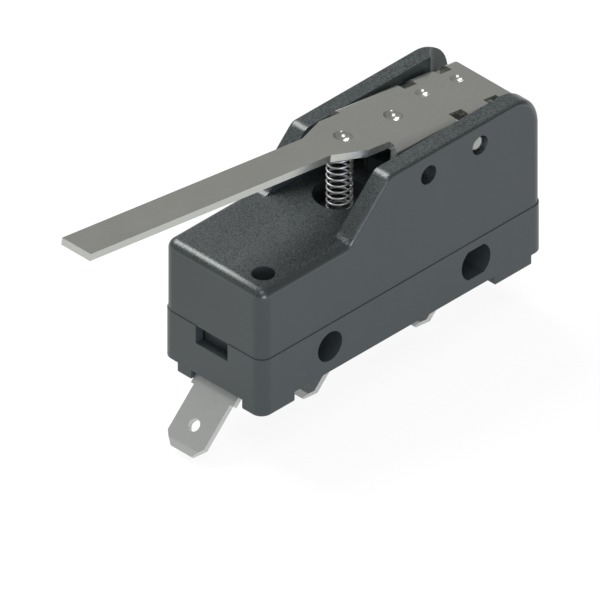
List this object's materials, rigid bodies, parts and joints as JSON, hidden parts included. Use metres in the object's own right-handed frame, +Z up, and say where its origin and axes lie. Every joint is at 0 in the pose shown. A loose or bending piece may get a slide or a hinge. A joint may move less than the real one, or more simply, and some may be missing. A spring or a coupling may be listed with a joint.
{
  "type": "lever micro switch",
  "caption": "Snap-action switch in a two-part moulded case, worked by a long hinged lever with a return spring, with blade terminals underneath.",
  "frame": {"origin": "midpoint between the two mounting holes, at mid width of the case", "axes": "+X along the case towards the lever's hinge pin, +Y across the case along the mounting holes, +Z up towards the lever"},
  "size_m": [0.0729, 0.0174, 0.0408],
  "materials": {
    "base_moulding": "dark grey moulding with a fine speckle",
    "cover_moulding": "dark grey moulding with a fine speckle",
    "lever_steel": "stamped and tumbled",
    "pin_steel": "ground",
    "plunger_plastic": "smooth",
    "spring_steel": "bright wire",
    "tab_metal": "grey plated",
    "blade_alloy": "rolled strip",
    "contact_metal": "pale contact alloy",
    "bracket_metal": "stamped"
  },
  "bodies": {
    "case": {"lower_housing": "base_moulding", "upper_housing": "cover_moulding", "hinge_pin": "pin_steel", "return_spring": "spring_steel", "common_terminal": "tab_metal", "closed_terminal": "tab_metal", "open_terminal": "tab_metal", "closed_contact": "contact_metal", "open_contact": "contact_metal", "spring_anchor": "bracket_metal", "blade_clamp": "bracket_metal", "front_rivet": "bracket_metal", "back_rivet": "bracket_metal"},
    "lever": {"lever": "lever_steel"},
    "plunger": {"plunger": "plunger_plastic"},
    "blade": {"contact_blade": "blade_alloy", "snap_spring": "blade_alloy", "moving_contact": "contact_metal"}
  },
  "joints": [
    {"name": "lever_hinge", "type": "hinge", "parent": "case", "child": "lever", "pos_m": [0.0135, 0, 0.01715], "axis": [0, -1, 0], "range_deg": [0, 10], "stiffness_Nm_per_rad": 0.02, "springref_deg": -20.05, "deforming": ["return_spring"]},
    {"name": "plunger_slide", "type": "slide", "parent": "case", "child": "plunger", "axis": [0, 0, -1], "range_m": [0, 0.0012]},
    {"name": "blade_hinge", "type": "hinge", "parent": "case", "child": "blade", "pos_m": [0.0201, -0.00025, 0.00713], "axis": [0, -1, 0], "range_deg": [0, 1.21]}
  ],
  "couplings": [
    {"joint": "plunger_slide", "follows": "lever_hinge", "m_per_rad": 0.0068},
    {"joint": "blade_hinge", "follows": "lever_hinge", "ratio": 0.1203}
  ]
}
